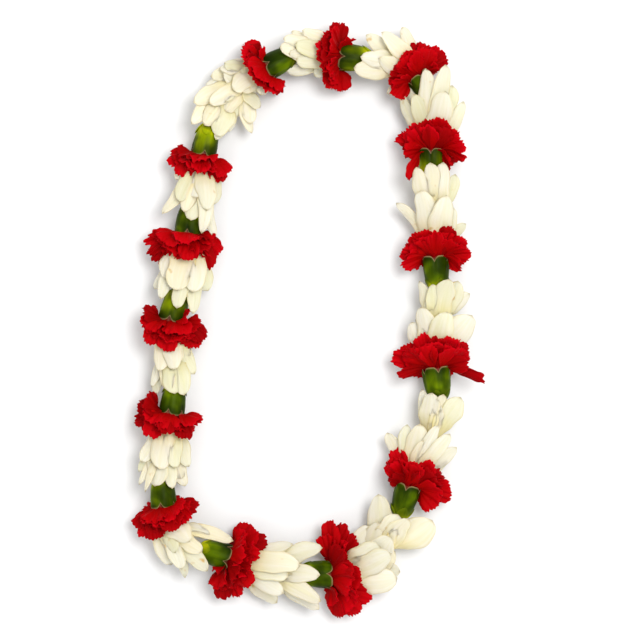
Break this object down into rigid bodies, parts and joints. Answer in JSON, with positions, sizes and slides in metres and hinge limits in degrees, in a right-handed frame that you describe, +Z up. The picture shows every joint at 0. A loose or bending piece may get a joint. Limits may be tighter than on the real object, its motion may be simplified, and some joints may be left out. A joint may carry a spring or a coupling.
{
  "type": "fresh flower lei",
  "caption": "Closed garland of red carnations alternating with groups of white double tuberose florets on a knotted string, laid flat as an oval loop.",
  "frame": {"origin": "on the surface that the lei lies on, under the middle of its outline", "axes": "+Z up from the surface; +Y along the loop's long side; seen from above the flowers face counter-clockwise round the loop"},
  "size_m": [0.2604, 0.4518, 0.0526],
  "materials": {
    "carnation_red": "soft velvety petals, saturated red, serrated edges",
    "calyx_green": "smooth waxy green leaf, paler teeth and stem end",
    "tuberose_white": "thick waxy creamy white petals",
    "cotton_string": "twisted cotton string"
  },
  "bodies": {
    "root": {"carnation_01_calyx": "calyx_green", "carnation_01_petals": "carnation_red", "tuberose_01_rear": "tuberose_white", "tuberose_01_front": "tuberose_white", "carnation_02_calyx": "calyx_green", "carnation_02_petals": "carnation_red", "tuberose_02_rear": "tuberose_white", "tuberose_02_middle": "tuberose_white", "tuberose_02_front": "tuberose_white", "carnation_03_calyx": "calyx_green", "carnation_03_petals": "carnation_red", "tuberose_03_rear": "tuberose_white", "tuberose_03_front": "tuberose_white", "carnation_04_calyx": "calyx_green", "carnation_04_petals": "carnation_red", "tuberose_04_rear": "tuberose_white", "tuberose_04_front": "tuberose_white", "carnation_05_calyx": "calyx_green", "carnation_05_petals": "carnation_red", "tuberose_05_rear": "tuberose_white", "tuberose_05_front": "tuberose_white", "carnation_06_calyx": "calyx_green", "carnation_06_petals": "carnation_red", "tuberose_06_rear": "tuberose_white", "tuberose_06_front": "tuberose_white", "carnation_07_calyx": "calyx_green", "carnation_07_petals": "carnation_red", "tuberose_07_rear": "tuberose_white", "tuberose_07_front": "tuberose_white", "carnation_08_calyx": "calyx_green", "carnation_08_petals": "carnation_red", "tuberose_08_rear": "tuberose_white", "tuberose_08_front": "tuberose_white", "carnation_09_calyx": "calyx_green", "carnation_09_petals": "carnation_red", "tuberose_09_rear": "tuberose_white", "tuberose_09_middle": "tuberose_white", "tuberose_09_front": "tuberose_white", "carnation_10_calyx": "calyx_green", "carnation_10_petals": "carnation_red", "tuberose_10_rear": "tuberose_white", "tuberose_10_front": "tuberose_white", "carnation_11_calyx": "calyx_green", "carnation_11_petals": "carnation_red", "tuberose_11_rear": "tuberose_white", "tuberose_11_front": "tuberose_white", "carnation_12_calyx": "calyx_green", "carnation_12_petals": "carnation_red", "tuberose_12_rear": "tuberose_white", "tuberose_12_front": "tuberose_white", "carnation_13_calyx": "calyx_green", "carnation_13_petals": "carnation_red", "tuberose_13_rear": "tuberose_white", "tuberose_13_front": "tuberose_white", "carnation_14_calyx": "calyx_green", "carnation_14_petals": "carnation_red", "tuberose_14_rear": "tuberose_white", "tuberose_14_front": "tuberose_white", "lei_string": "cotton_string", "string_knot": "cotton_string"}
  },
  "joints": []
}
